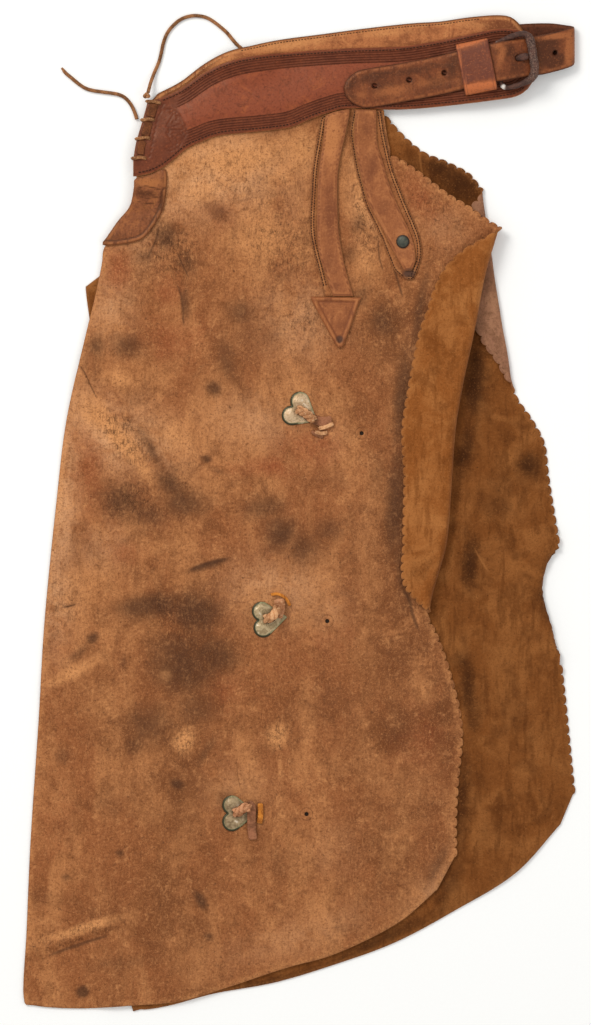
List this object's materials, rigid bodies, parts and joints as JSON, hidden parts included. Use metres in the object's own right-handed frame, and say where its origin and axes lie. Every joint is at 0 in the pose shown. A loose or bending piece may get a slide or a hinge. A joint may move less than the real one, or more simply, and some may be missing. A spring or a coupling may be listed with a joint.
{
  "type": "leather chaps",
  "caption": "Batwing leather chaps laid flat and folded in half at the laced front, with scalloped wings, shaped belt yokes and a buckled strap.",
  "frame": {"origin": "middle of the garment's bounding box on the surface that it lies on, free thong ends left out", "axes": "+Y from the hem to the belt, +X from the laced front to the wings, +Z away from the surface, near leg on top"},
  "size_m": [0.551, 0.9946, 0.0263],
  "materials": {
    "grain_leather": "worn matte grain",
    "suede_leather": "napped flesh side",
    "yoke_leather": "oiled satin",
    "lining_leather": "smooth matte",
    "strap_leather": "waxed satin",
    "keeper_leather": "worn satin",
    "thong": "dry rawhide",
    "rusty_iron": "rusted",
    "patinated_nickel": "tarnished",
    "blued_steel": "worn"
  },
  "bodies": {
    "root": {"belt_strap": "strap_leather", "buckle_frame": "rusty_iron", "buckle_tongue": "rusty_iron", "concho_1": "patinated_nickel", "concho_2": "patinated_nickel", "concho_3": "patinated_nickel", "concho_thong_1": "thong", "concho_thong_2": "thong", "concho_thong_3": "thong", "far_leg": "suede_leather", "far_yoke": "yoke_leather", "far_yoke_lining": "lining_leather", "front_tab": "yoke_leather", "keeper": "keeper_leather", "lace_end_side": "thong", "lace_end_upper": "thong", "lace_knot": "thong", "lace_wrap_1": "thong", "lace_wrap_2": "thong", "lace_wrap_3": "thong", "lace_wrap_4": "thong", "near_leg": "grain_leather", "near_yoke": "yoke_leather", "rivet": "blued_steel", "strap_1": "grain_leather", "strap_1_border": "grain_leather", "strap_1_point": "grain_leather", "strap_2": "grain_leather", "strap_2_border": "grain_leather"}
  },
  "joints": []
}
